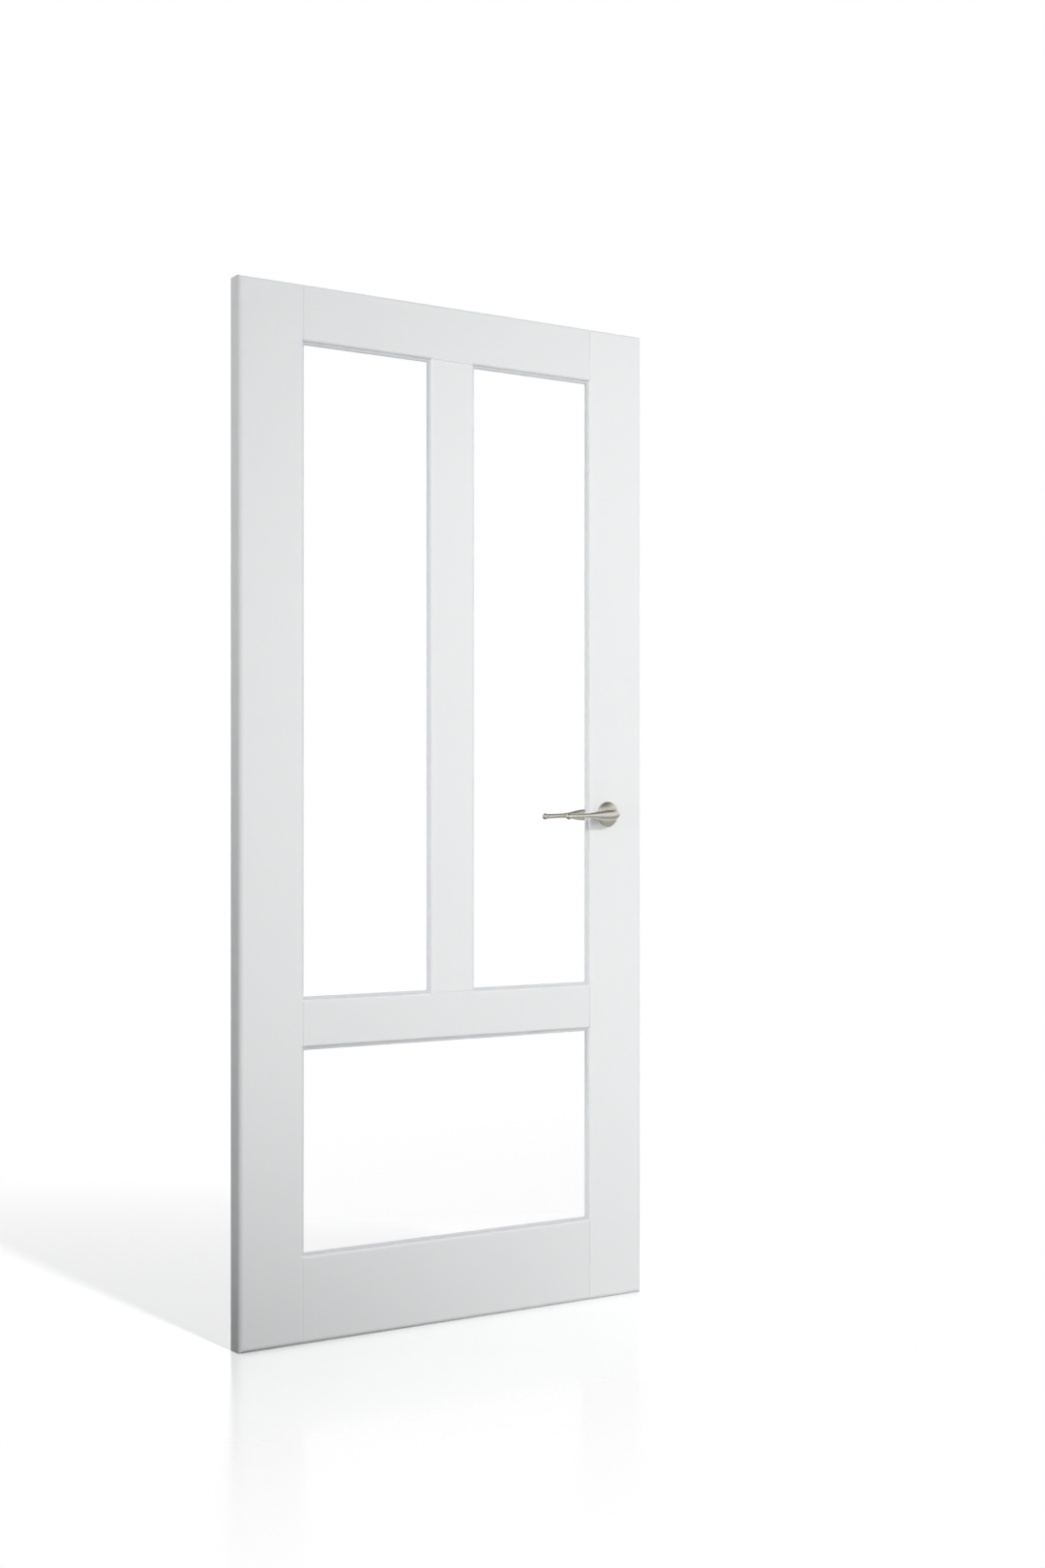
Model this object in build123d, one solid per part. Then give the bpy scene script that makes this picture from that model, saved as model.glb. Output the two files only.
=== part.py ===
from build123d import *
import os

# Glazed interior door leaf: a painted timber frame with two tall lights over one wide light,
# glazing beads on the back, and a lever set on a tubular latch.
# Millimetres. X runs from the hinge edge to the lock edge, Y from the front face to the back face,
# and Z up from the foot of the leaf. The origin is on the hinge edge, mid-thickness, at the foot.

# Leaf and its members
leaf_width = 915.0
leaf_height = 1981.0
leaf_thickness = 44.0
stile_width = 131.0
mullion_width = 97.0
top_rail_height = 107.0
middle_rail_height = 90.0
bottom_rail_height = 165.0
lower_light_height = 389.0
leaf_edge_radius = 9.0
light_edge_radius = 6.0
groove_depth = 1.2

# Glass and beads
glass_thickness = 6.0
lip_depth = 10.0
rebate_width = 17.0
glass_edge_clearance = 2.0
bead_depth = 20.0
bead_land = 2.0
bead_flat = 4.0
rebate_arris = 1.2

# Lever set
handle_height = 991.0
backset = 86.0
rose_diameter = 51.0
rose_thickness = 10.0
rose_rim_height = 2.0
rose_bore_clearance = 0.3
neck_diameter = 19.0
neck_door_gap = 1.0
elbow_diameter = 23.0
elbow_bend_radius = 18.0
arm_stand_off = 35.0
arm_reach = 126.0
arm_droop = 2.0
arm_waist_diameter = 9.0
arm_waist_place = 83.0
arm_end_diameter = 9.8
knob_diameter = 12.8
spindle_side = 8.0
spindle_fit = 0.1
spindle_grip_length = 22.0
spindle_hole_diameter = 16.0

# Tubular latch
forend_width = 25.0
forend_height = 57.0
forend_thickness = 3.0
forend_corner_radius = 5.0
forend_clearance = 0.2
tube_diameter = 22.0
tube_hole_clearance = 0.5
cage_thickness = 15.0
cage_reach = 16.0
follower_hole_diameter = 14.0
bolt_thickness = 11.0
bolt_height = 15.0
bolt_throw = 12.0
bolt_tail_length = 32.0
bolt_clearance = 0.3
bolt_nose = 2.0

# Places that follow from the sizes above
front_face = -leaf_thickness / 2
back_face = leaf_thickness / 2
glass_front = front_face + lip_depth
glass_back = glass_front + glass_thickness
bead_back = glass_back + bead_depth
bead_bevel_width = rebate_width - bead_flat
stile_line = leaf_width - stile_width
mullion_left = (leaf_width - mullion_width) / 2
mullion_right = mullion_left + mullion_width
lower_light_top = bottom_rail_height + lower_light_height
upper_light_foot = lower_light_top + middle_rail_height
upper_light_top = leaf_height - top_rail_height
handle_x = leaf_width - backset
rose_face = front_face - rose_thickness
arm_line = front_face - arm_stand_off
forend_seat = leaf_width - forend_thickness

# Each light: left and right edge, foot and top of its opening
lights = {
    "upper_left": (stile_width, mullion_left, upper_light_foot, upper_light_top),
    "upper_right": (mullion_right, stile_line, upper_light_foot, upper_light_top),
    "lower": (stile_width, stile_line, bottom_rail_height, lower_light_top),
}

# Each member of the frame: left and right end, foot and top
members = {
    "hinge_stile": (0, stile_width, 0, leaf_height),
    "lock_stile": (stile_line, leaf_width, 0, leaf_height),
    "top_rail": (stile_width, stile_line, upper_light_top, leaf_height),
    "middle_rail": (stile_width, stile_line, lower_light_top, upper_light_foot),
    "bottom_rail": (stile_width, stile_line, 0, bottom_rail_height),
    "mullion": (mullion_left, mullion_right, upper_light_foot, upper_light_top),
}


def widened(area, grow):
    """An area of the face (left, right, foot, top), widened all round."""
    left, right, foot, top = area
    return (left - grow, right + grow, foot - grow, top + grow)


def block(area, y_low, y_high):
    """A box over an area of the face, between two depths."""
    left, right, foot, top = area
    place = Pos((left + right) / 2, (y_low + y_high) / 2, (foot + top) / 2)
    return place * Box(right - left, y_high - y_low, top - foot)


def at_handle(shape):
    """Move a shape drawn round the origin to where the spindle's line crosses the leaf."""
    return Pos(handle_x, 0, handle_height) * shape


def leaf_blank():
    """The whole leaf as one slab, with a round arris along every edge of both faces."""
    plan = RectangleRounded(leaf_width, leaf_thickness, leaf_edge_radius)
    side = RectangleRounded(leaf_thickness, leaf_height, leaf_edge_radius)
    upright = extrude(Pos(leaf_width / 2, 0) * plan, leaf_height)
    level = extrude(Plane.YZ * Pos(0, leaf_height / 2) * side, leaf_width)
    return upright & level


def flared_section(low, high):
    """Section of an opening, with its span along X, widened at the front face by the arris."""
    over = leaf_thickness
    radius = light_edge_radius
    arris_end = front_face + radius
    mouth = Polyline(
        (low - radius, front_face),
        (low - radius, front_face - over),
        (high + radius, front_face - over),
        (high + radius, front_face),
    )
    reveal = Polyline(
        (high, arris_end),
        (high, back_face + over),
        (low, back_face + over),
        (low, arris_end),
    )
    low_arris = CenterArc((low - radius, arris_end), radius, -90, 90)
    high_arris = CenterArc((high + radius, arris_end), radius, 180, 90)
    return make_face(mouth + high_arris + reveal + low_arris)


def splayed_section(low, high):
    """Section of an opening between beads: a short land, then a bevel out to the beads' backs."""
    over = leaf_thickness
    land_end = glass_back + bead_land
    back_low = low - bead_bevel_width
    back_high = high + bead_bevel_width
    outline = Polyline(
        (low, front_face),
        (low, land_end),
        (back_low, bead_back),
        (back_low, bead_back + over),
        (back_high, bead_back + over),
        (back_high, bead_back),
        (high, land_end),
        (high, front_face),
        close=True,
    )
    return make_face(outline)


def mitred_cutter(light, section, spread):
    """An opening with the same section on all four sides, mitred at the corners."""
    left, right, foot, top = light
    mouth_left, mouth_right, mouth_foot, mouth_top = widened(light, spread)
    upright_plane = Plane.XY.offset(mouth_foot)
    upright = extrude(upright_plane * section(left, right), mouth_top - mouth_foot)
    level_plane = Plane((mouth_right, 0, 0), x_dir=(0, 0, 1), z_dir=(-1, 0, 0))
    level = extrude(level_plane * section(foot, top), mouth_right - mouth_left)
    return upright & level


def light_cutter(light):
    """One light's opening: straight reveals behind a round arris."""
    return mitred_cutter(light, flared_section, light_edge_radius)


def bead_cutter(light):
    """The daylight that one light's bevelled beads leave open."""
    return mitred_cutter(light, splayed_section, bead_bevel_width)


def groove(line, face, depth):
    """Cutter for a V-groove on one face, along an upright or level line (left, right, foot, top)."""
    left, right, foot, top = line
    side = depth * 2**0.5
    if left == right:
        bar = Rot(0, 0, 45) * Box(side, side, top - foot)
    else:
        bar = Rot(45, 0, 0) * Box(right - left, side, side)
    return Pos((left + right) / 2, face, (foot + top) / 2) * bar


def joint_grooves():
    """V-grooves on both faces along the lines where the members meet."""
    lines = []
    for name in ("top_rail", "middle_rail", "bottom_rail"):
        left, right, foot, top = members[name]
        lines += [(left, left, foot, top), (right, right, foot, top)]
    left, right, foot, top = members["mullion"]
    lines += [(left, right, foot, foot), (left, right, top, top)]
    return [groove(line, face, groove_depth) for line in lines for face in (front_face, back_face)]


def rebate_edges(light):
    """Cutters that ease the back edges of one light's rebate."""
    left, right, foot, top = widened(light, rebate_width)
    lines = [(left, left, foot, top), (right, right, foot, top), (left, right, foot, foot), (left, right, top, top)]
    return [groove(line, back_face, rebate_arris) for line in lines]


def forend_outline(grow):
    """The forend's outline on its seat in the lock edge, widened all round."""
    seat = Plane((forend_seat, 0, handle_height), x_dir=(0, 1, 0), z_dir=(1, 0, 0))
    return seat * RectangleRounded(forend_width + 2 * grow, forend_height + 2 * grow, forend_corner_radius + grow)


def cross_hole(diameter):
    """Cutter for a round hole through the leaf on the spindle's line."""
    return at_handle(Rot(90, 0, 0) * Cylinder(diameter / 2, 2 * leaf_thickness))


def latch_hole():
    """Round hole for the latch's tube, bored from the lock edge."""
    depth = backset + cage_reach + tube_hole_clearance
    mouth = Plane((leaf_width, 0, handle_height), x_dir=(0, 1, 0), z_dir=(-1, 0, 0))
    return extrude(mouth * Circle(tube_diameter / 2 + tube_hole_clearance), depth)


def make_frame():
    """The timber members, cut from one slab so that arrises, rebates and joints line up."""
    slab = leaf_blank()
    cutters = joint_grooves()
    for light in lights.values():
        cutters.append(light_cutter(light))
        cutters.append(block(widened(light, rebate_width), glass_front, back_face + leaf_thickness))
        cutters += rebate_edges(light)
    slab -= cutters
    frame = {name: slab & block(area, front_face, back_face) for name, area in members.items()}
    forend_recess = extrude(forend_outline(forend_clearance), leaf_thickness)
    frame["lock_stile"] -= [forend_recess, latch_hole(), cross_hole(spindle_hole_diameter)]
    return frame


def make_glass(light):
    """One pane, seated against the front lip."""
    return block(widened(light, rebate_width - glass_edge_clearance), glass_front, glass_back)


def make_beads(light):
    """Four mitred, bevelled beads that hold one light's pane in its rebate."""
    outer_area = widened(light, rebate_width)
    surround = block(outer_area, glass_back, bead_back) - bead_cutter(light)
    outer, inner = [
        [(left, foot), (right, foot), (right, top), (left, top)]
        for left, right, foot, top in (outer_area, light)
    ]
    beads = {}
    for index, side in enumerate(("bottom", "right", "top", "left")):
        after = (index + 1) % 4
        run = make_face(Polyline(outer[index], outer[after], inner[after], inner[index], close=True))
        beads[side] = surround & extrude(Plane.XZ.offset(-back_face) * run, leaf_thickness)
    return beads


def make_front_rose():
    """Round rose, domed as a cap of a sphere and bored for the lever's neck."""
    rim = rose_diameter / 2
    bore = neck_diameter / 2 + rose_bore_clearance
    rim_line = front_face - rose_rim_height
    rise = rose_thickness - rose_rim_height
    middle_depth = (rim**2 - bore**2 - rise**2) / (2 * rise)
    dome_radius = (rim**2 + middle_depth**2) ** 0.5
    dome = RadiusArc((bore, rose_face), (rim, rim_line), -dome_radius)
    outline = Polyline((rim, rim_line), (rim, front_face), (bore, front_face), (bore, rose_face))
    return at_handle(revolve(make_face(dome + outline), Axis.Y))


def lever_neck():
    """Neck that turns in the rose and swells towards the elbow."""
    start = front_face - neck_door_gap
    end = arm_line + elbow_bend_radius
    radius = neck_diameter / 2
    elbow_radius = elbow_diameter / 2
    swell = TangentArc((elbow_radius, end), (radius, rose_face), tangent=(0, 1))
    outline = Polyline((radius, rose_face), (radius, start), (0, start), (0, end), (elbow_radius, end))
    return revolve(make_face(swell + outline), Axis.Y)


def lever_elbow():
    """Quarter bend from the neck into the arm."""
    start = arm_line + elbow_bend_radius
    mouth = Plane((0, start, 0), x_dir=(1, 0, 0), z_dir=(0, -1, 0)) * Circle(elbow_diameter / 2)
    return revolve(mouth, Axis((-elbow_bend_radius, start, 0), (0, 0, -1)), 90)


def lever_arm():
    """Arm that narrows from the elbow to a waist and ends in a small round knob."""
    root = (-elbow_bend_radius, elbow_diameter / 2)
    waist = (-arm_waist_place, arm_waist_diameter / 2)
    turn = ((root[0] + waist[0]) / 2, (root[1] + waist[1]) / 2)
    knob_radius = knob_diameter / 2
    knob_middle = arm_reach - knob_radius
    end_radius = arm_end_diameter / 2
    end = (-knob_middle + (knob_radius**2 - end_radius**2) ** 0.5, end_radius)
    outline = TangentArc(root, turn, tangent=(-1, 0))
    outline += TangentArc(waist, turn, tangent=(1, 0))
    outline += TangentArc(waist, end, tangent=(-1, 0))
    outline += ThreePointArc(end, (-knob_middle, knob_radius), (-arm_reach, 0))
    outline += Polyline((-arm_reach, 0), (root[0], 0), root)
    return Pos(0, arm_line, 0) * revolve(make_face(outline), Axis.X)


def make_front_lever():
    """Neck, elbow and drooping arm in one piece, with a square socket for the spindle."""
    lever = Rot(0, -arm_droop, 0) * (lever_neck() + lever_elbow() + lever_arm())
    socket_side = spindle_side + 2 * spindle_fit
    socket_depth = 2 * (spindle_grip_length + spindle_fit)
    socket = Pos(0, front_face - neck_door_gap, 0) * Box(socket_side, socket_depth, socket_side)
    return at_handle(lever - socket)


def make_spindle():
    """Square bar that joins the two levers through the latch."""
    length = leaf_thickness + 2 * (neck_door_gap + spindle_grip_length)
    return at_handle(Box(spindle_side, length, spindle_side))


def bolt_profile(grow):
    """Height and half thickness of the bolt's body, widened all round."""
    foot = handle_height - bolt_height / 2 - grow
    top = handle_height + bolt_height / 2 + grow
    return foot, top, bolt_thickness / 2 + grow


def bolt_way():
    """The way through the forend and into the tube that the bolt slides in."""
    foot, top, half = bolt_profile(bolt_clearance)
    return block((leaf_width - bolt_tail_length, leaf_width + bolt_throw, foot, top), -half, half)


def make_latch_tube():
    """Round tube behind the forend, flattened to a cage round the spindle at its end."""
    radius = tube_diameter / 2
    seat = Plane((forend_seat, 0, handle_height), x_dir=(0, 1, 0), z_dir=(-1, 0, 0))
    tube = extrude(seat * Circle(radius), forend_seat - handle_x + cage_reach)
    cage = (handle_x - cage_reach, handle_x + cage_reach, handle_height - radius, handle_height + radius)
    flat = cage_thickness / 2
    tube -= [block(cage, flat, radius), block(cage, -radius, -flat)]
    return tube - [cross_hole(follower_hole_diameter), bolt_way()]


def make_latch_forend():
    """Plate flush in the lock edge, with a way for the bolt."""
    return extrude(forend_outline(0), forend_thickness) - bolt_way()


def make_latch_bolt():
    """Sprung bolt, bevelled towards the front face, which closes first."""
    foot, top, half = bolt_profile(0)
    tail = leaf_width - bolt_tail_length
    nose = leaf_width + bolt_throw
    outline = Polyline(
        (tail, half), (nose, half), (nose, half - bolt_nose), (leaf_width, -half), (tail, -half), close=True
    )
    return extrude(Plane.XY.offset(foot) * make_face(outline), top - foot)


def make_pieces():
    """Every piece of the door by its name."""
    pieces = make_frame()
    for light_name, light in lights.items():
        pieces[f"{light_name}_glass"] = make_glass(light)
        for side, bead in make_beads(light).items():
            pieces[f"{light_name}_bead_{side}"] = bead
    pieces["front_rose"] = make_front_rose()
    pieces["back_rose"] = mirror(pieces["front_rose"], Plane.XZ)
    pieces["front_lever"] = make_front_lever()
    pieces["back_lever"] = mirror(pieces["front_lever"], Plane.XZ)
    pieces["spindle"] = make_spindle()
    pieces["latch_tube"] = make_latch_tube()
    pieces["latch_forend"] = make_latch_forend()
    pieces["latch_bolt"] = make_latch_bolt()
    return pieces


os.makedirs("parts", exist_ok=True)
for piece_name, piece in make_pieces().items():
    export_step(piece, f"parts/{piece_name}.step")
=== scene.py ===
import math

import bpy
from bpy.props import FloatProperty, FloatVectorProperty, IntProperty, PointerProperty
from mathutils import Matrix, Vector


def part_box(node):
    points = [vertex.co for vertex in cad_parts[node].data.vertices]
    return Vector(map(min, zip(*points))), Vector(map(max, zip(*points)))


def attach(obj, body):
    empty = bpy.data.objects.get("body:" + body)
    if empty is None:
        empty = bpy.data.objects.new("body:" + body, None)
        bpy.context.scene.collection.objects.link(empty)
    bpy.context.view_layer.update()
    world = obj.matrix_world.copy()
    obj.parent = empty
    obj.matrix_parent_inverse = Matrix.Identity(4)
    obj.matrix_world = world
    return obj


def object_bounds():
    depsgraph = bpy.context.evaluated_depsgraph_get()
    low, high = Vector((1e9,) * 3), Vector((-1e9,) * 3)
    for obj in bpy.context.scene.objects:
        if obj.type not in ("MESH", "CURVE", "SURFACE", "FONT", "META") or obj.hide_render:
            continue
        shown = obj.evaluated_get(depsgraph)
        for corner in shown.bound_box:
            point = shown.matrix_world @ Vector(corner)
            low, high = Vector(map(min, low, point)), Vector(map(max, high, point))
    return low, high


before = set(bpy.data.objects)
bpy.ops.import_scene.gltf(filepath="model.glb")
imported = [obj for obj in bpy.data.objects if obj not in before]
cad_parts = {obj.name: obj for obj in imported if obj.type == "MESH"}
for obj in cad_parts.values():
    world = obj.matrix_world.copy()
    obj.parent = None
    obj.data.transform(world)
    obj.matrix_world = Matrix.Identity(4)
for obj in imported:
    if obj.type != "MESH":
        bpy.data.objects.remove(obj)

bl_info = {
    "name": "Glazed Interior Door",
    "version": (1, 0, 0),
    "blender": (4, 5, 0),
    "location": "View3D > Sidebar > Door",
    "description": "Paint, glazing, fasteners and a plain studio for a glazed interior door leaf",
    "category": "Object",
}

# Places read from the frame, in metres. X runs from the hinge edge to the lock edge, Y from the
# front face to the back face, and Z up from the foot of the leaf.
cad_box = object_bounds()
glass_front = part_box("lower_glass")[0].y
glass_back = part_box("lower_glass")[1].y
lock_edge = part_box("lock_stile")[1].x
bead_low, bead_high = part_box("lower_bead_left")
spindle_low, spindle_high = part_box("spindle")
spindle_middle = (spindle_low + spindle_high) / 2
rose_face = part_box("front_rose")[0].y
neck_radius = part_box("front_lever")[1].z - spindle_middle.z
forend_low, forend_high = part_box("latch_forend")
leaf_middle = (cad_box[0] + cad_box[1]) / 2

# What a bead keeps beside its bevel: the land against the glass and the flat on its back.
bead_land = 0.002
bead_flat = 0.004

upright_members = ("hinge_stile", "lock_stile", "mullion")
level_members = ("top_rail", "middle_rail", "bottom_rail")
light_names = ("upper_left", "upper_right", "lower")


def light_opening(left, right, foot, top):
    """Left, right, foot and top of the daylight between four members."""
    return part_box(left)[1].x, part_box(right)[0].x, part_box(foot)[1].z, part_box(top)[0].z


light_openings = (
    light_opening("hinge_stile", "mullion", "middle_rail", "top_rail"),
    light_opening("mullion", "lock_stile", "middle_rail", "top_rail"),
    light_opening("hinge_stile", "lock_stile", "bottom_rail", "middle_rail"),
)


class PaintSettings(bpy.types.PropertyGroup):
    """The sprayed enamel on the timber and the beads."""

    colour: FloatVectorProperty(
        name="Colour",
        description="Colour of the enamel",
        subtype="COLOR",
        default=(0.86, 0.868, 0.866),
    )
    thin_colour: FloatVectorProperty(
        name="Thin colour",
        description="Colour where the coat is a little thinner",
        subtype="COLOR",
        default=(0.835, 0.845, 0.846),
    )
    roughness: FloatProperty(
        name="Roughness",
        description="Roughness of the satin coat",
        subtype="FACTOR",
        default=0.38,
        min=0,
        max=1,
    )
    stipple_pitch: FloatProperty(
        name="Stipple pitch",
        description="Spacing of the sprayed coat's stipple",
        unit="LENGTH",
        default=0.0016,
    )
    stipple_height: FloatProperty(
        name="Stipple height",
        description="Height of the stipple",
        unit="LENGTH",
        default=0.000018,
    )
    fibre_pitch: FloatProperty(
        name="Fibre pitch",
        description="Spacing of the fibres that show through",
        unit="LENGTH",
        default=0.003,
    )
    fibre_height: FloatProperty(
        name="Fibre height",
        description="Height of the fibres under the coat",
        unit="LENGTH",
        default=0.000014,
    )


class GlazingSettings(bpy.types.PropertyGroup):
    """The panes, their seals and the pins in the beads."""

    tint: FloatVectorProperty(
        name="Tint",
        description="Colour of light through the glass",
        subtype="COLOR",
        default=(0.982, 0.996, 0.99),
    )
    front_seal_width: FloatProperty(
        name="Front seal",
        description="Width of the seal before each pane",
        unit="LENGTH",
        default=0.005,
    )
    back_seal_width: FloatProperty(
        name="Back seal",
        description="Width of the seal behind each pane",
        unit="LENGTH",
        default=0.0018,
    )
    # The seal's cool lavender grey is painted shade: pale sealant given the colour of a reveal in
    # shade.
    seal_colour: FloatVectorProperty(
        name="Seal colour",
        description="Colour of the seal",
        subtype="COLOR",
        default=(0.73, 0.735, 0.765),
    )
    pin_diameter: FloatProperty(
        name="Pin diameter",
        description="Width of a filled pin head",
        unit="LENGTH",
        default=0.0026,
    )
    pin_height: FloatProperty(
        name="Pin height",
        description="How far the filler stands proud",
        unit="LENGTH",
        default=0.0002,
    )
    pin_pitch: FloatProperty(
        name="Pin pitch",
        description="Spacing of the pins along a bead",
        unit="LENGTH",
        default=0.19,
    )
    pin_corner: FloatProperty(
        name="Pin corner",
        description="Distance of the end pins from a corner",
        unit="LENGTH",
        default=0.045,
    )


class IronmongerySettings(bpy.types.PropertyGroup):
    """The lever set, the latch and their screws."""

    nickel: FloatVectorProperty(
        name="Nickel",
        description="Colour of the satin nickel",
        subtype="COLOR",
        default=(0.74, 0.7, 0.63),
    )
    nickel_streak: FloatVectorProperty(
        name="Nickel streak",
        description="Colour of the brush marks",
        subtype="COLOR",
        default=(0.62, 0.585, 0.525),
    )
    nickel_roughness: FloatProperty(
        name="Roughness",
        description="Roughness of the satin nickel",
        subtype="FACTOR",
        default=0.27,
        min=0,
        max=1,
    )
    steel: FloatVectorProperty(
        name="Steel",
        description="Colour of the latch's plated steel",
        subtype="COLOR",
        default=(0.56, 0.565, 0.57),
    )
    steel_dull: FloatVectorProperty(
        name="Dull steel",
        description="Colour of the plating's dull grains",
        subtype="COLOR",
        default=(0.45, 0.45, 0.45),
    )
    forend_screw_diameter: FloatProperty(
        name="Forend screw",
        description="Head of a forend screw",
        unit="LENGTH",
        default=0.0075,
    )
    grub_screw_diameter: FloatProperty(
        name="Grub screw",
        description="Width of a lever's grub screw",
        unit="LENGTH",
        default=0.0045,
    )
    turn_seed: IntProperty(
        name="Turn seed",
        description="Seed for the way the screws are turned",
        default=7,
    )


class StudioSettings(bpy.types.PropertyGroup):
    """The floor, the lamps and the camera."""

    key_strength: FloatProperty(
        name="Key",
        description="Strength of the lamp on the face",
        default=1.13,
    )
    key_way: FloatVectorProperty(
        name="Key way",
        description="Where the key lamp stands from the leaf",
        subtype="DIRECTION",
        default=(0.045, -1.0, 0.53),
    )
    pool_power: FloatProperty(
        name="Pool",
        description="Power of the soft pool of light",
        unit="POWER",
        default=148.0,
    )
    edge_strength: FloatProperty(
        name="Edges",
        description="Strength of the lamp along the face",
        default=0.86,
    )
    side_power: FloatProperty(
        name="Side",
        description="Power of the lamp on the hinge edge",
        unit="POWER",
        default=34.0,
    )
    back_strength: FloatProperty(
        name="Back",
        description="Strength of the lamp on the back face",
        default=1.5,
    )
    shadow_strength: FloatProperty(
        name="Shadow",
        description="Strength of the lamp that casts the shadow on the floor",
        default=2.6,
    )
    ambient: FloatProperty(
        name="Ambient",
        description="Strength of the light from all round",
        default=0.437,
    )
    floor_colour: FloatVectorProperty(
        name="Floor",
        description="Colour of the light that the floor throws back",
        subtype="COLOR",
        default=(0.48, 0.48, 0.48),
    )
    floor_level: FloatProperty(
        name="Floor level",
        description="Brightness of the floor that counts as white",
        default=0.9,
    )
    shadow_depth: FloatProperty(
        name="Shadow depth",
        description="How much the shadow darkens the floor",
        subtype="FACTOR",
        default=0.765,
    )
    shadow_reach: FloatProperty(
        name="Shadow reach",
        description="How far from the camera's side the shadow fades out",
        unit="LENGTH",
        default=1.8,
    )
    shadow_front: FloatProperty(
        name="Shadow front",
        description="How far before the leaf the shadow fades out",
        unit="LENGTH",
        default=0.6,
    )
    shadow_side: FloatProperty(
        name="Shadow side",
        description="How far to each side of the middle the shadow ends",
        unit="LENGTH",
        default=0.9,
    )
    reflection: FloatProperty(
        name="Reflection",
        description="Strength of the floor's reflection",
        default=1.75,
    )
    reflection_reach: FloatProperty(
        name="Reflection reach",
        description="How far before the leaf its reflection fades",
        unit="LENGTH",
        default=1.2,
    )
    ceiling: FloatProperty(
        name="Ceiling",
        description="Brightness of the ceiling in reflections",
        subtype="FACTOR",
        default=0.22,
    )
    floor_in_metal: FloatProperty(
        name="Floor in metal",
        description="How far the floor takes to turn white in metal",
        unit="LENGTH",
        default=1.4,
    )
    dim_middle: FloatVectorProperty(
        name="Dim middle",
        description="Where on the floor the least light is thrown back",
        subtype="TRANSLATION",
        default=(-0.15, -0.25, 0.0),
    )
    dim_radius: FloatProperty(
        name="Dim radius",
        description="How far round that the floor is dimmer",
        unit="LENGTH",
        default=1.15,
    )
    dim_colour: FloatVectorProperty(
        name="Dim colour",
        description="Colour of the floor in its dim middle",
        subtype="COLOR",
        default=(0.0, 0.0, 0.0),
    )
    heading: FloatProperty(
        name="Heading",
        description="How far the camera looks to the right",
        subtype="ANGLE",
        default=math.radians(33.2342),
    )
    lens: FloatProperty(
        name="Lens",
        description="Focal length",
        unit="CAMERA",
        default=47.634,
    )


class Term:
    """An output of a node, with which sums and products are written as plain arithmetic."""

    def __init__(self, graph, socket):
        self.graph = graph
        self.socket = socket

    def maths(self, operation, first, second):
        return self.graph.node("ShaderNodeMath", {"operation": operation}, {0: first, 1: second})

    def __add__(self, other):
        return self.maths("ADD", self, other)

    def __radd__(self, other):
        return self.maths("ADD", other, self)

    def __sub__(self, other):
        return self.maths("SUBTRACT", self, other)

    def __rsub__(self, other):
        return self.maths("SUBTRACT", other, self)

    def __mul__(self, other):
        return self.maths("MULTIPLY", self, other)

    def __rmul__(self, other):
        return self.maths("MULTIPLY", other, self)

    def __truediv__(self, other):
        return self.maths("DIVIDE", self, other)

    def __rtruediv__(self, other):
        return self.maths("DIVIDE", other, self)


class Graph:
    """A node tree that is written as calls and arithmetic."""

    def __init__(self, tree):
        self.tree = tree
        tree.nodes.clear()

    def node(self, kind, settings=None, inputs=None, output=0):
        """Add a node. Its settings are set first, then the values or links of its sockets."""
        made = self.tree.nodes.new(kind)
        for name, value in (settings or {}).items():
            setattr(made, name, value)
        for name, value in (inputs or {}).items():
            terms = value if isinstance(value, list) else [value]
            for term in terms:
                if isinstance(term, Term):
                    self.tree.links.new(term.socket, made.inputs[name])
                else:
                    made.inputs[name].default_value = term
        return Term(self, made.outputs[output]) if made.outputs else made

    def blend(self, factor, first, second):
        """A colour between two others."""
        inputs = {0: factor, 6: opaque(first), 7: opaque(second)}
        return self.node("ShaderNodeMix", {"data_type": "RGBA"}, inputs, output=2)

    def clamped(self, value):
        """A value held between 0 and 1."""
        return self.node("ShaderNodeClamp", inputs={"Value": value})

    def combined(self, *parts):
        """A vector from up to three numbers or terms."""
        return self.node("ShaderNodeCombineXYZ", inputs=dict(enumerate(parts)))

    def separated(self, vector):
        """The three parts of a vector."""
        return [
            self.node("ShaderNodeSeparateXYZ", inputs={0: vector}, output=axis)
            for axis in range(3)
        ]

    def stretched(self, vector, factors):
        """A vector with each axis multiplied by its own factor."""
        inputs = {0: vector, 1: tuple(factors)}
        return self.node("ShaderNodeVectorMath", {"operation": "MULTIPLY"}, inputs)

    def noise(self, vector, scale, detail=2.0):
        """Cloudy noise between 0 and 1."""
        inputs = {"Vector": vector, "Scale": scale, "Detail": detail}
        return self.node("ShaderNodeTexNoise", inputs=inputs)

    def bump(self, height):
        """A normal from a height in metres."""
        inputs = {"Height": height, "Distance": 1.0, "Strength": 1.0}
        return self.node("ShaderNodeBump", inputs=inputs)


def opaque(colour):
    """A colour with full alpha, or a term as it is."""
    return colour if isinstance(colour, Term) else (*colour, 1.0)


def new_material(name):
    """An empty node material and its graph."""
    material = bpy.data.materials.new(name)
    material.use_nodes = True
    return material, Graph(material.node_tree)


def object_place(graph, kind="Object"):
    """The point on the piece, in metres, or the direction that the world is seen in."""
    return graph.node("ShaderNodeTexCoord", output=kind)


def surface(graph, inputs):
    """End a material in one principled shader."""
    shader = graph.node("ShaderNodeBsdfPrincipled", inputs=inputs)
    graph.node("ShaderNodeOutputMaterial", inputs={"Surface": shader})


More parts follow.
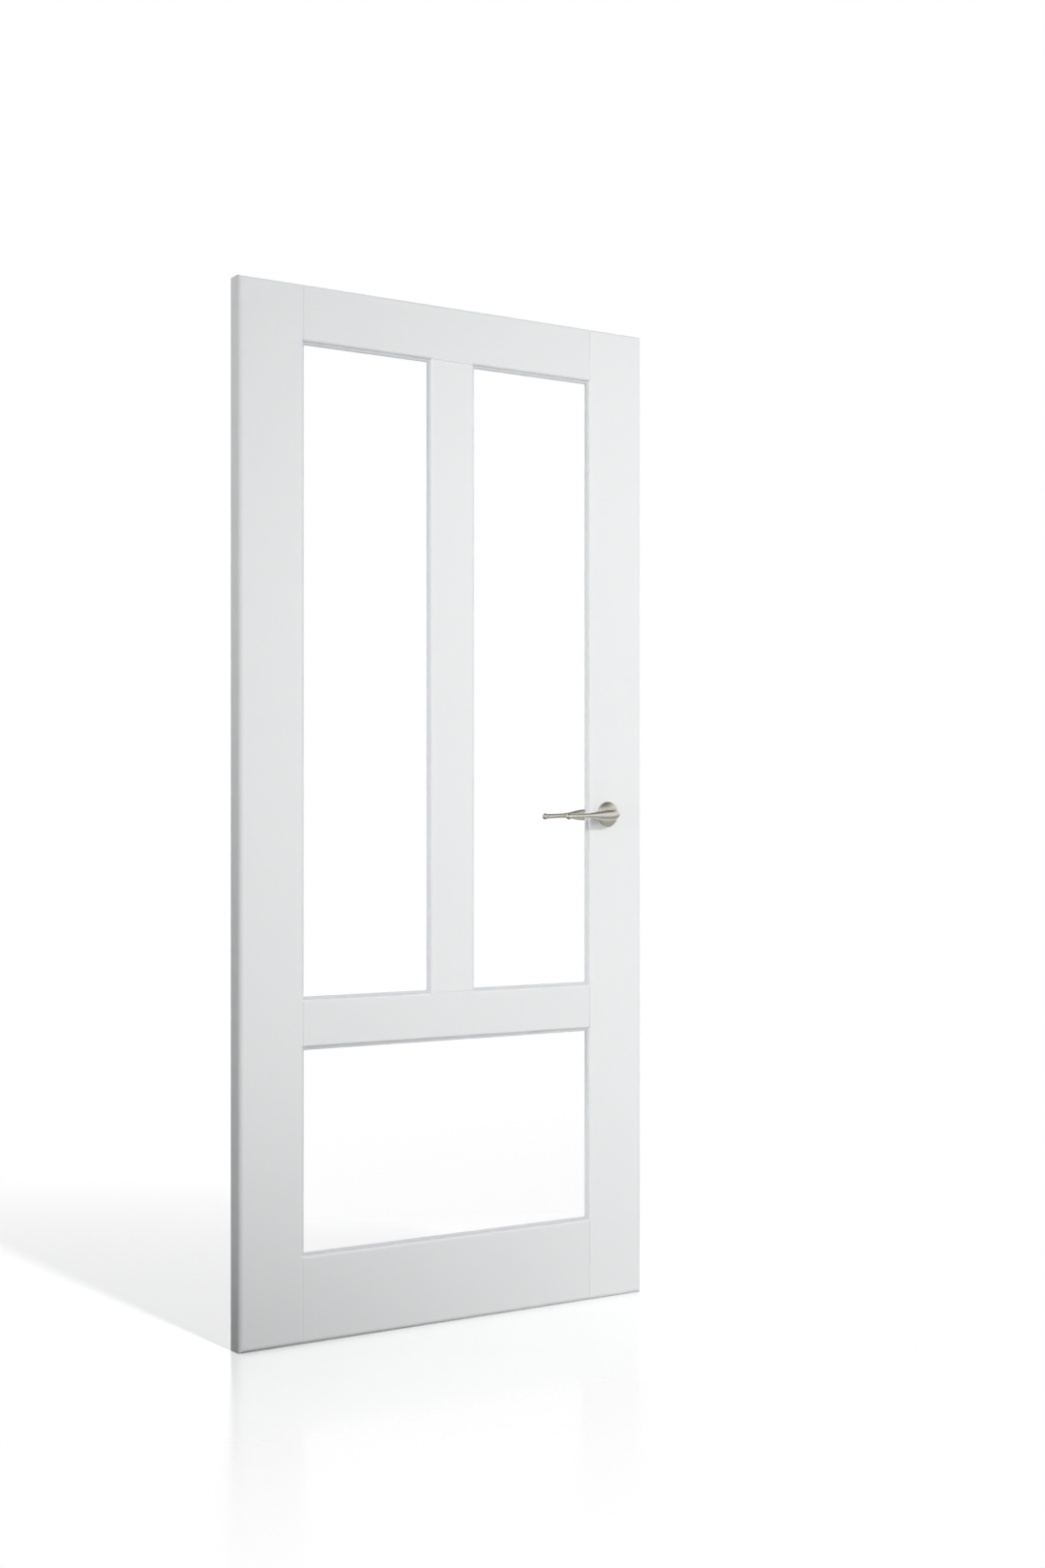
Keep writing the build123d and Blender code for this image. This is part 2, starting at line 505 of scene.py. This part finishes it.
def painted_timber(name, grain, paint):
    """Sprayed satin enamel, with the timber's fibres faint under it along one axis."""
    material, graph = new_material(name)
    place = object_place(graph)
    fibre_length = 60.0
    density = [1.0 / paint.fibre_pitch] * 3
    density[grain] /= fibre_length
    clouds_per_metre = 3.0
    fibres = graph.noise(graph.stretched(place, density), 1.0, detail=3.0)
    stipple = graph.noise(place, 1.0 / paint.stipple_pitch)
    cloud = graph.noise(place, clouds_per_metre, detail=4.0)
    cloud_share, fibre_share = 0.65, 0.35
    thin = cloud_share * cloud + fibre_share * fibres
    shine, cloud_dulls, stipple_dulls = 0.06, 0.08, 0.04
    surface(
        graph,
        {
            "Base Color": graph.blend(thin, paint.colour, paint.thin_colour),
            "Roughness": paint.roughness - shine + cloud_dulls * cloud + stipple_dulls * stipple,
            "Normal": graph.bump(paint.stipple_height * stipple + paint.fibre_height * fibres),
        },
    )
    return material


def clear_glass(name, glazing):
    """Float glass with a slight tint and a pane's faint waves, plainly clear to reflections."""
    material, graph = new_material(name)
    place = object_place(graph)
    tints_per_metre, waves_per_metre = 1.5, 2.5
    wave_height = 0.00004
    refraction = 1.5
    tint = graph.blend(graph.noise(place, tints_per_metre), glazing.tint, (1.0, 1.0, 1.0))
    pane = graph.node(
        "ShaderNodeBsdfPrincipled",
        inputs={
            "Base Color": tint,
            "Roughness": 0.0,
            "IOR": refraction,
            "Transmission Weight": 1.0,
            "Normal": graph.bump(wave_height * graph.noise(place, waves_per_metre, detail=1.0)),
        },
    )
    reflected = graph.node("ShaderNodeLightPath", output="Is Glossy Ray")
    clear = graph.node("ShaderNodeBsdfTransparent")
    glass = graph.node("ShaderNodeMixShader", inputs={0: reflected, 1: pane, 2: clear})
    graph.node("ShaderNodeOutputMaterial", inputs={"Surface": glass})
    return material


def glazing_seal(name, glazing):
    """Pale sealant given the cool grey of a reveal in shade, so partly painted shade, a little
    uneven in colour and gloss.
    """
    material, graph = new_material(name)
    place = object_place(graph)
    clouds_per_metre, ripples_per_metre = 45.0, 160.0
    ripple_height = 0.00006
    cloud = graph.noise(place, clouds_per_metre, detail=3.0)
    dust = 0.92
    # The seal colour carries painted shade; the dust below only darkens it a little at random.
    dusty = tuple(dust * level for level in glazing.seal_colour)
    roughness, cloud_dulls = 0.34, 0.16
    surface(
        graph,
        {
            "Base Color": graph.blend(cloud, glazing.seal_colour, dusty),
            "Roughness": roughness + cloud_dulls * cloud,
            "Normal": graph.bump(ripple_height * graph.noise(place, ripples_per_metre)),
        },
    )
    return material


def nickel_surface(graph, streaks, iron):
    """End a nickel material whose brush marks are given as streaks between 0 and 1."""
    clouds_per_metre = 90.0
    cloud = graph.noise(object_place(graph), clouds_per_metre, detail=3.0)
    streak_share, cloud_share = 0.7, 0.3
    worn = streak_share * streaks + cloud_share * cloud
    shine, streaks_dull, cloud_dulls = 0.06, 0.12, 0.04
    polish = iron.nickel_roughness - shine
    mark_height = 0.000006
    surface(
        graph,
        {
            "Base Color": graph.blend(worn, iron.nickel, iron.nickel_streak),
            "Metallic": 1.0,
            "Roughness": polish + streaks_dull * streaks + cloud_dulls * cloud,
            "Normal": graph.bump(mark_height * streaks),
        },
    )


def brushed_nickel(name, iron):
    """Satin nickel, brushed along the lever's arm."""
    material, graph = new_material(name)
    marks_per_metre = (40.0, 2600.0, 2600.0)
    streaks = graph.noise(graph.stretched(object_place(graph), marks_per_metre), 1.0)
    nickel_surface(graph, streaks, iron)
    return material


def turned_nickel(name, iron):
    """Satin nickel with the fine rings of a lathe round the spindle's line."""
    material, graph = new_material(name)
    across, _, up = graph.separated(object_place(graph))
    from_middle = graph.combined(across - spindle_middle.x, up - spindle_middle.z)
    radius = graph.node(
        "ShaderNodeVectorMath", {"operation": "LENGTH"}, {0: from_middle}, output="Value"
    )
    ring_pitch = 0.0004
    streaks = graph.node(
        "ShaderNodeTexNoise",
        {"noise_dimensions": "1D"},
        {"W": radius, "Scale": 1.0 / ring_pitch, "Detail": 2.0},
    )
    nickel_surface(graph, streaks, iron)
    return material


def plated_steel(name, iron):
    """Zinc plate with its pale grains."""
    material, graph = new_material(name)
    place = object_place(graph)
    grain_size = 0.0022
    grains = graph.node(
        "ShaderNodeTexVoronoi", inputs={"Vector": place, "Scale": 1.0 / grain_size}
    )
    clouds_per_metre = 120.0
    cloud = graph.noise(place, clouds_per_metre, detail=3.0)
    grain_share, cloud_share = 0.5, 0.4
    dull = grain_share * grains + cloud_share * cloud
    roughness, grains_dull, cloud_dulls = 0.3, 0.1, 0.1
    pit_height = 0.000008
    surface(
        graph,
        {
            "Base Color": graph.blend(dull, iron.steel, iron.steel_dull),
            "Metallic": 1.0,
            "Roughness": roughness + grains_dull * grains + cloud_dulls * cloud,
            "Normal": graph.bump(pit_height * cloud),
        },
    )
    return material


def finish_nodes(names, material):
    """Give CAD nodes their finish."""
    for name in names:
        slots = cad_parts[name].data.materials
        slots.clear()
        slots.append(material)


def new_tree(name, sizes):
    """A geometry tree with a named input for each size, its graph and its inputs as terms."""
    tree = bpy.data.node_groups.new(name, "GeometryNodeTree")
    graph = Graph(tree)
    inputs = {"Geometry": "NodeSocketGeometry", **sizes}
    for size, kind in inputs.items():
        tree.interface.new_socket(size, in_out="INPUT", socket_type=kind)
    tree.interface.new_socket("Geometry", in_out="OUTPUT", socket_type="NodeSocketGeometry")
    return graph, {size: graph.node("NodeGroupInput", output=size) for size in inputs}


def end_tree(graph, geometry, material):
    """End a geometry tree in real geometry with one material."""
    real = graph.node("GeometryNodeRealizeInstances", inputs={"Geometry": geometry})
    finished = graph.node(
        "GeometryNodeSetMaterial", inputs={"Geometry": real, "Material": material}
    )
    graph.node("NodeGroupOutput", inputs={"Geometry": finished})


def made_piece(source, graph, values, body):
    """Run a geometry tree on a source object and keep the result as a plain piece on its body."""
    bpy.context.scene.collection.objects.link(source)
    modifier = source.modifiers.new("Make", "NODES")
    modifier.node_group = graph.tree
    for item in graph.tree.interface.items_tree:
        if item.in_out == "INPUT" and item.name in values:
            modifier[item.identifier] = values[item.name]
    depsgraph = bpy.context.evaluated_depsgraph_get()
    mesh = bpy.data.meshes.new_from_object(source.evaluated_get(depsgraph), depsgraph=depsgraph)
    if not mesh.polygons:
        raise RuntimeError(f"{source.name} came out empty")
    source.modifiers.remove(modifier)
    name = source.name
    bpy.data.objects.remove(source)
    piece = bpy.data.objects.new(name, mesh)
    bpy.context.scene.collection.objects.link(piece)
    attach(piece, body)
    return piece


def facing_points(name, points, facings, edges=()):
    """A source mesh of points, each with the way that its fastener faces."""
    mesh = bpy.data.meshes.new(name)
    mesh.from_pydata([tuple(point) for point in points], edges, [])
    facing = mesh.attributes.new("facing", "FLOAT_VECTOR", "POINT")
    facing.data.foreach_set("vector", [value for direction in facings for value in direction])
    return bpy.data.objects.new(name, mesh)


def set_on_points(graph, points, head, seed):
    """Instances of a head on points, each facing its own way and turned by chance."""
    facing = graph.node(
        "GeometryNodeInputNamedAttribute", {"data_type": "FLOAT_VECTOR"}, {"Name": "facing"}
    )
    aligned = graph.node("FunctionNodeAlignRotationToVector", {"axis": "Z"}, {"Vector": facing})
    chance = graph.node(
        "FunctionNodeRandomValue", {"data_type": "FLOAT"}, {"Seed": seed}, output=1
    )
    turn = graph.node("FunctionNodeAxisAngleToRotation", inputs={"Angle": math.pi * chance})
    rotation = graph.node(
        "FunctionNodeRotateRotation",
        {"rotation_space": "LOCAL"},
        {"Rotation": aligned, "Rotate By": turn},
    )
    return graph.node(
        "GeometryNodeInstanceOnPoints",
        inputs={"Points": points, "Instance": head, "Rotation": rotation},
    )


def tapered_head(graph, sides, radius, taper, depth):
    """A round head that narrows towards its top."""
    return graph.node(
        "GeometryNodeMeshCone",
        inputs={
            "Vertices": sides,
            "Radius Top": taper * radius,
            "Radius Bottom": radius,
            "Depth": depth,
        },
    )


def screw_tree(name, recess, material):
    """A tree that sets screw heads on points, with a cross or hexagon recess."""
    sizes = {"Diameter": "NodeSocketFloat", "Height": "NodeSocketFloat", "Seed": "NodeSocketInt"}
    graph, size = new_tree(name, sizes)
    diameter, height = size["Diameter"], size["Height"]
    radius = 0.5 * diameter
    head = tapered_head(graph, sides=32, radius=radius, taper=0.88, depth=2.0 * height)
    if recess == "cross":
        long_share, short_share = 0.62, 0.13
        long_side, short_side = long_share * diameter, short_share * diameter
        arms = [
            graph.node("GeometryNodeMeshCube", inputs={"Size": graph.combined(*side, height)})
            for side in ((long_side, short_side), (short_side, long_side))
        ]
        tool = graph.node("GeometryNodeMeshBoolean", {"operation": "UNION"}, {"Mesh 2": arms})
    else:
        socket_share = 0.5
        tool = graph.node(
            "GeometryNodeMeshCylinder",
            inputs={"Vertices": 6, "Radius": socket_share * radius, "Depth": height},
        )
    top = graph.combined(0.0, 0.0, 2.0 * height)
    raised = graph.node("GeometryNodeTransform", inputs={"Geometry": tool, "Translation": top})
    cut = graph.node(
        "GeometryNodeMeshBoolean", {"operation": "DIFFERENCE"}, {"Mesh 1": head, "Mesh 2": raised}
    )
    end_tree(graph, set_on_points(graph, size["Geometry"], cut, size["Seed"]), material)
    return graph


def pin_tree(name, material):
    """A tree that spaces low filled pin heads along the edges of its source."""
    sizes = {size: "NodeSocketFloat" for size in ("Diameter", "Height", "Pitch")}
    graph, size = new_tree(name, sizes)
    lines = graph.node("GeometryNodeMeshToCurve", inputs={"Mesh": size["Geometry"]})
    spaced = graph.node(
        "GeometryNodeResampleCurve", {"mode": "LENGTH"}, {"Curve": lines, "Length": size["Pitch"]}
    )
    radius = 0.5 * size["Diameter"]
    head = tapered_head(graph, sides=16, radius=radius, taper=0.6, depth=size["Height"])
    end_tree(graph, set_on_points(graph, spaced, head, seed=1), material)
    return graph


def seal_run(graph, loops, width, bedding, depth, way):
    """A quarter-round seal along flat loops, raised to a pane's face and standing out one way."""
    mitre = math.sqrt(2)
    round_profile = graph.node(
        "GeometryNodeCurveArc",
        {"mode": "RADIUS"},
        {
            "Resolution": 7,
            "Radius": width + bedding,
            "Start Angle": math.pi,
            "Sweep Angle": math.pi / 2,
            "Connect Center": True,
        },
    )
    profile = graph.node(
        "GeometryNodeTransform",
        inputs={
            "Geometry": round_profile,
            "Translation": graph.combined(bedding, 0.0, 0.0),
            "Scale": (1.0, 1.0 / mitre, 1.0),
        },
    )
    run = graph.node(
        "GeometryNodeCurveToMesh",
        inputs={"Curve": loops, "Profile Curve": profile, "Scale": mitre},
    )
    raised = graph.node(
        "GeometryNodeTransform",
        inputs={
            "Geometry": run,
            "Translation": graph.combined(0.0, 0.0, depth),
            "Scale": (1.0, 1.0, way),
        },
    )
    return raised if way > 0 else graph.node("GeometryNodeFlipFaces", inputs={"Mesh": raised})


def seal_tree(name, material):
    """A tree that runs a seal along flat loops, before and behind the panes, and stands it up."""
    size_names = ("Front Width", "Back Width", "Bedding", "Front", "Back")
    graph, size = new_tree(name, {size: "NodeSocketFloat" for size in size_names})
    loops, bedding = size["Geometry"], size["Bedding"]
    runs = [
        seal_run(graph, loops, size["Front Width"], bedding, size["Front"], 1.0),
        seal_run(graph, loops, size["Back Width"], bedding, size["Back"], -1.0),
    ]
    both = graph.node("GeometryNodeJoinGeometry", inputs={"Geometry": runs})
    upright = graph.node(
        "GeometryNodeTransform", inputs={"Geometry": both, "Rotation": (math.pi / 2, 0.0, 0.0)}
    )
    end_tree(graph, upright, material)
    return graph


class DOOR_OT_paint_timber(bpy.types.Operator):
    """Paint the stiles, rails and mullion, with the grain along each member"""

    bl_idname = "glazed_door.paint_timber"
    bl_label = "Paint Timber"

    def execute(self, context):
        paint = context.scene.door_paint
        finish_nodes(upright_members, painted_timber("upright_timber_paint", 2, paint))
        finish_nodes(level_members, painted_timber("level_timber_paint", 0, paint))
        return {"FINISHED"}


class DOOR_OT_paint_beads(bpy.types.Operator):
    """Paint the glazing beads, with the grain along each bead"""

    bl_idname = "glazed_door.paint_beads"
    bl_label = "Paint Beads"

    def execute(self, context):
        paint = context.scene.door_paint
        runs = ((2, ("left", "right"), "upright"), (0, ("top", "bottom"), "level"))
        for grain, sides, name in runs:
            beads = [f"{light}_bead_{side}" for light in light_names for side in sides]
            finish_nodes(beads, painted_timber(f"{name}_bead_paint", grain, paint))
        return {"FINISHED"}


class DOOR_OT_pin_beads(bpy.types.Operator):
    """Set the filled pin heads along the beads"""

    bl_idname = "glazed_door.pin_beads"
    bl_label = "Pin Beads"

    def execute(self, context):
        glazing = context.scene.door_glazing
        corner = glazing.pin_corner
        bevel = Vector((bead_high.y - bead_low.y - bead_land, bead_high.x - bead_low.x - bead_flat))
        depth = bead_high.y - bevel.x / 2
        inset = bevel.y / 2
        inwards, backwards = bevel.normalized()
        points, facings, edges = [], [], []
        for left, right, foot, top in light_openings:
            level_ends = (left + corner, right - corner)
            upright_ends = (foot + corner, top - corner)
            runs = [
                (*((across, up) for across in level_ends), (0.0, backwards, facing * inwards))
                for up, facing in ((foot - inset, 1.0), (top + inset, -1.0))
            ]
            runs += [
                (*((across, up) for up in upright_ends), (facing * inwards, backwards, 0.0))
                for across, facing in ((left - inset, 1.0), (right + inset, -1.0))
            ]
            for start, end, facing in runs:
                edges.append((len(points), len(points) + 1))
                points += [(start[0], depth, start[1]), (end[0], depth, end[1])]
                facings += [facing, facing]
        filler = painted_timber("pin_filler_paint", 2, context.scene.door_paint)
        source = facing_points("bead_pins", points, facings, edges)
        values = {
            "Diameter": glazing.pin_diameter,
            "Height": glazing.pin_height,
            "Pitch": glazing.pin_pitch,
        }
        made_piece(source, pin_tree("Bead Pins", filler), values, "leaf")
        return {"FINISHED"}


class DOOR_OT_glaze(bpy.types.Operator):
    """Make the panes clear glass"""

    bl_idname = "glazed_door.glaze"
    bl_label = "Glaze"

    def execute(self, context):
        glass = clear_glass("float_glass", context.scene.door_glazing)
        finish_nodes([f"{light}_glass" for light in light_names], glass)
        return {"FINISHED"}


class DOOR_OT_seal_glass(bpy.types.Operator):
    """Run the seal round each pane, in front and behind"""

    bl_idname = "glazed_door.seal_glass"
    bl_label = "Seal Glass"

    def execute(self, context):
        glazing = context.scene.door_glazing
        loops = bpy.data.curves.new("glazing_seals", "CURVE")
        loops.dimensions = "3D"
        for left, right, foot, top in light_openings:
            corners = ((left, foot), (right, foot), (right, top), (left, top))
            spline = loops.splines.new("POLY")
            spline.points.add(len(corners) - len(spline.points))
            spline.use_cyclic_u = True
            for point, (across, up) in zip(spline.points, corners):
                point.co = (across, up, 0.0, 1.0)
        seal = glazing_seal("white_sealant", glazing)
        # The seal goes a hair into the timber and the glass, so that no gap shows.
        bedding = 0.00018
        grip = 0.00005
        values = {
            "Front Width": glazing.front_seal_width,
            "Back Width": glazing.back_seal_width,
            "Bedding": bedding,
            "Front": -glass_front - grip,
            "Back": -glass_back + grip,
        }
        source = bpy.data.objects.new("glazing_seals", loops)
        made_piece(source, seal_tree("Glazing Seals", seal), values, "leaf")
        return {"FINISHED"}


class DOOR_OT_finish_lever_set(bpy.types.Operator):
    """Give the levers, spindle and roses their satin nickel"""

    bl_idname = "glazed_door.finish_lever_set"
    bl_label = "Finish Lever Set"

    def execute(self, context):
        iron = context.scene.door_ironmongery
        finish_nodes(("front_lever", "back_lever"), brushed_nickel("brushed_lever_nickel", iron))
        finish_nodes(("front_rose", "back_rose"), turned_nickel("turned_rose_nickel", iron))
        finish_nodes(("spindle",), plated_steel("spindle_steel", iron))
        return {"FINISHED"}


class DOOR_OT_set_grub_screws(bpy.types.Operator):
    """Set the grub screw under each lever's neck"""

    bl_idname = "glazed_door.set_grub_screws"
    bl_label = "Set Grub Screws"

    def execute(self, context):
        iron = context.scene.door_ironmongery
        off_rose = 0.006
        height = 0.00035
        points = [
            (spindle_middle.x, side * (rose_face - off_rose), spindle_middle.z - neck_radius)
            for side in (1.0, -1.0)
        ]
        source = facing_points("grub_screws", points, [(0.0, 0.0, -1.0)] * 2)
        values = {"Diameter": iron.grub_screw_diameter, "Height": height, "Seed": iron.turn_seed}
        steel = plated_steel("grub_screw_steel", iron)
        tree = screw_tree("Grub Screws", "hexagon", steel)
        made_piece(source, tree, values, "lever")
        return {"FINISHED"}


class DOOR_OT_finish_latch(bpy.types.Operator):
    """Give the latch its plated steel"""

    bl_idname = "glazed_door.finish_latch"
    bl_label = "Finish Latch"

    def execute(self, context):
        steel = plated_steel("latch_steel", context.scene.door_ironmongery)
        finish_nodes(("latch_forend", "latch_bolt", "latch_tube"), steel)
        return {"FINISHED"}


class DOOR_OT_set_forend_screws(bpy.types.Operator):
    """Set the two screws that hold the forend"""

    bl_idname = "glazed_door.set_forend_screws"
    bl_label = "Set Forend Screws"

    def execute(self, context):
        iron = context.scene.door_ironmongery
        inset = 0.0085
        height = 0.0004
        levels = (forend_low.z + inset, forend_high.z - inset)
        points = [(forend_high.x, 0.0, level) for level in levels]
        source = facing_points("forend_screws", points, [(1.0, 0.0, 0.0)] * 2)
        values = {"Diameter": iron.forend_screw_diameter, "Height": height, "Seed": iron.turn_seed}
        steel = plated_steel("forend_screw_steel", iron)
        tree = screw_tree("Forend Screws", "cross", steel)
        made_piece(source, tree, values, "leaf")
        return {"FINISHED"}


def seen_directly(graph, glossy_share=1.0):
    """1 for what is seen straight, in a reflection or through glass, 0 for light on the object."""
    camera, glossy, through = (
        graph.node("ShaderNodeLightPath", output=name)
        for name in ("Is Camera Ray", "Is Glossy Ray", "Is Transmission Ray")
    )
    return graph.clamped(camera + glossy_share * glossy + through)


def studio_floor(studio):
    """White floor that keeps the leaf's shadow, deepest near the leaf, and a faint reflection."""
    material, graph = new_material("studio_floor")
    place = object_place(graph)
    across, behind, _ = graph.separated(place)

    # The shadow fades away from the camera, before the leaf and to both sides.
    away = math.sin(studio.heading) * across + math.cos(studio.heading) * behind
    aside = graph.node("ShaderNodeMath", {"operation": "ABSOLUTE"}, {0: across - lock_edge / 2})
    side_fade = 0.3
    near = graph.clamped(1.0 - away / studio.shadow_reach)
    close = graph.clamped(1.0 + behind / studio.shadow_front)
    between = graph.clamped(studio.shadow_side / side_fade - aside / side_fade)
    grains_per_metre, grain_depth = 30.0, 0.02
    grain = graph.noise(place, grains_per_metre)
    share = studio.shadow_depth * near * close * between * (1.0 - grain_depth * grain)
    lit = graph.node("ShaderNodeBsdfDiffuse", inputs={"Color": share})
    white = graph.node("ShaderNodeEmission", inputs={"Color": 1.0 - studio.floor_level * share})
    seen = graph.node("ShaderNodeAddShader", inputs={0: white, 1: lit})

    # What the floor throws back on the leaf, with less of it near the leaf's foot.
    from_foot = graph.node(
        "ShaderNodeVectorMath",
        {"operation": "DISTANCE"},
        {0: place, 1: tuple(studio.dim_middle)},
        output="Value",
    )
    dim = graph.clamped(1.0 - from_foot / studio.dim_radius)
    bounce_colour = graph.blend(dim, studio.floor_colour, studio.dim_colour)
    bounce = graph.node("ShaderNodeBsdfDiffuse", inputs={"Color": bounce_colour})
    dark_share = 0.7
    far = graph.clamped(behind / -studio.floor_in_metal - dark_share)
    plain = graph.node(
        "ShaderNodeMixShader", inputs={0: seen_directly(graph, far), 1: bounce, 2: seen}
    )

    # The reflection of the leaf, strongest at its foot.
    sheen_roughness, sheen_ior = 0.16, 1.4
    sheen = graph.node(
        "ShaderNodeBsdfGlossy",
        {"distribution": "MULTI_GGX"},
        {"Color": opaque((1.0, 1.0, 1.0)), "Roughness": sheen_roughness},
    )
    before = graph.clamped(1.0 + behind / studio.reflection_reach)
    glancing = graph.node("ShaderNodeFresnel", inputs={"IOR": sheen_ior})
    mirrored = studio.reflection * before * near * glancing * seen_directly(graph, 0.0)
    floor = graph.node("ShaderNodeMixShader", inputs={0: mirrored, 1: plain, 2: sheen})
    graph.node("ShaderNodeOutputMaterial", inputs={"Surface": floor})
    return material


def studio_world(studio):
    """White surroundings to look at, and a softer, cooler light from all round."""
    world = bpy.data.worlds.new("studio_world")
    world.use_nodes = True
    graph = Graph(world.node_tree)
    cool = (0.96, 0.985, 1.0)
    soft = graph.node(
        "ShaderNodeBackground", inputs={"Color": opaque(cool), "Strength": studio.ambient}
    )
    up = graph.separated(object_place(graph, "Generated"))[2]
    wall_top, ceiling_edge = 0.42, 0.8
    height = graph.node(
        "ShaderNodeMapRange",
        {"interpolation_type": "SMOOTHSTEP"},
        {0: up, 1: wall_top, 2: ceiling_edge},
    )
    wall_to_ceiling = graph.blend(height, (1.0, 1.0, 1.0), (studio.ceiling,) * 3)
    white = graph.node("ShaderNodeBackground", inputs={"Color": wall_to_ceiling, "Strength": 1.0})
    both = graph.node("ShaderNodeMixShader", inputs={0: seen_directly(graph), 1: soft, 2: white})
    graph.node("ShaderNodeOutputWorld", inputs={"Surface": both})
    return world


def aimed_lamp(name, kind, place, target, **settings):
    """A lamp at a place, aimed at a target, that shows in no reflection."""
    data = bpy.data.lights.new(name, kind)
    for setting, value in settings.items():
        setattr(data, setting, value)
    lamp = bpy.data.objects.new(name, data)
    lamp.location = place
    lamp.rotation_euler = (Vector(target) - Vector(place)).to_track_quat("-Z", "Y").to_euler()
    data.cycles.use_multiple_importance_sampling = False
    lamp.visible_glossy = False
    bpy.context.scene.collection.objects.link(lamp)
    return lamp


def sun(name, way, strength, spread):
    """A far lamp that stands one way from the leaf, with its spread in degrees."""
    distance = 4.0
    place = leaf_middle + Vector(way) * distance
    angle = math.radians(spread)
    return aimed_lamp(name, "SUN", place, leaf_middle, energy=strength, angle=angle)


def spot(name, place, target, power, cone, blend, size):
    """A near lamp with its cone in degrees, the softness of its rim and its own size."""
    return aimed_lamp(
        name,
        "SPOT",
        place,
        target,
        energy=power,
        spot_size=math.radians(cone),
        spot_blend=blend,
        shadow_soft_size=size,
    )


def light_only(lamp, receivers):
    """Let a lamp reach only some of the objects."""
    reached = bpy.data.collections.new(f"{lamp.name}_reach")
    for receiver in receivers:
        reached.objects.link(receiver)
    lamp.light_linking.receiver_collection = reached


def lay_floor(scene, studio):
    """The wide white floor, which is stage and no part of the door."""
    half = 30.0
    mesh = bpy.data.meshes.new("floor")
    corners = [(-half, -half, 0.0), (half, -half, 0.0), (half, half, 0.0), (-half, half, 0.0)]
    mesh.from_pydata(corners, [], [(0, 1, 2, 3)])
    mesh.materials.append(studio_floor(studio))
    floor = bpy.data.objects.new("floor", mesh)
    scene.collection.objects.link(floor)
    return floor


def set_lamps(studio, floor):
    """Light the face, then the reveals, the hinge edge, the back and the floor, each by itself."""
    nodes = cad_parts
    key_spread = 4.0
    sun("key", studio.key_way, studio.key_strength, key_spread)
    spot(
        "pool",
        place=(2.4, -3.6, 1.8),
        target=(1.0, 0.0, 1.1),
        power=studio.pool_power,
        cone=40.0,
        blend=0.7,
        size=0.4,
    )
    edges = sun("edges", (-1.0, -0.09, 0.05), studio.edge_strength, spread=8.0)
    light_only(edges, [nodes["mullion"], nodes["lock_stile"], bpy.data.objects["glazing_seals"]])
    side = spot(
        "side",
        place=(-3.0, -0.2, 2.6),
        target=(0.0, 0.0, 1.75),
        power=studio.side_power,
        cone=34.0,
        blend=1.0,
        size=0.3,
    )
    light_only(side, [nodes["hinge_stile"]])
    back = sun("back", (0.25, 1.0, 0.45), studio.back_strength, spread=12.0)
    light_only(back, nodes.values())
    shadow = sun("shadow", studio.key_way, studio.shadow_strength, key_spread)
    light_only(shadow, [floor])


def set_camera(scene, studio):
    """A level camera at the height of the lever."""
    camera = bpy.data.objects.new("camera", bpy.data.cameras.new("camera"))
    camera.data.sensor_width = 36.0
    camera.data.lens = studio.lens
    camera.data.shift_y = 0.02133
    camera.location = (-1.6497, -3.4864, 0.9846)
    camera.rotation_euler = (math.radians(90.0), 0.0, -studio.heading)
    scene.collection.objects.link(camera)
    scene.camera = camera


class DOOR_OT_set_stage(bpy.types.Operator):
    """Lay the floor, set the lamps and place the camera"""

    bl_idname = "glazed_door.set_stage"
    bl_label = "Set Stage"

    def execute(self, context):
        scene = context.scene
        studio = scene.door_studio
        floor = lay_floor(scene, studio)
        scene.world = studio_world(studio)
        set_lamps(studio, floor)
        set_camera(scene, studio)
        scene.view_settings.view_transform = "Standard"
        # With the light tree, lamps that reach only some pieces change from run to run.
        scene.cycles.use_light_tree = False
        return {"FINISHED"}


operators = (
    DOOR_OT_paint_timber,
    DOOR_OT_paint_beads,
    DOOR_OT_pin_beads,
    DOOR_OT_glaze,
    DOOR_OT_seal_glass,
    DOOR_OT_finish_lever_set,
    DOOR_OT_set_grub_screws,
    DOOR_OT_finish_latch,
    DOOR_OT_set_forend_screws,
    DOOR_OT_set_stage,
)
settings_groups = {
    "door_paint": PaintSettings,
    "door_glazing": GlazingSettings,
    "door_ironmongery": IronmongerySettings,
    "door_studio": StudioSettings,
}


class DOOR_PT_steps(bpy.types.Panel):
    """The steps that finish the door"""

    bl_idname = "DOOR_PT_steps"
    bl_label = "Glazed Door"
    bl_space_type = "VIEW_3D"
    bl_region_type = "UI"
    bl_category = "Door"

    def draw(self, context):
        for operator in operators:
            self.layout.operator(operator.bl_idname)
        for name, group in settings_groups.items():
            box = self.layout.box()
            for setting in group.__annotations__:
                box.prop(getattr(context.scene, name), setting)


def register():
    for group in settings_groups.values():
        bpy.utils.register_class(group)
    for name, group in settings_groups.items():
        setattr(bpy.types.Scene, name, PointerProperty(type=group))
    for operator in operators:
        bpy.utils.register_class(operator)
    bpy.utils.register_class(DOOR_PT_steps)


def unregister():
    bpy.utils.unregister_class(DOOR_PT_steps)
    for operator in reversed(operators):
        bpy.utils.unregister_class(operator)
    for name in settings_groups:
        delattr(bpy.types.Scene, name)
    for group in reversed(settings_groups.values()):
        bpy.utils.unregister_class(group)


def main():
    """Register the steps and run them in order."""
    register()
    for operator in operators:
        group, name = operator.bl_idname.split(".")
        getattr(getattr(bpy.ops, group), name)()


if __name__ == "__main__":
    main()
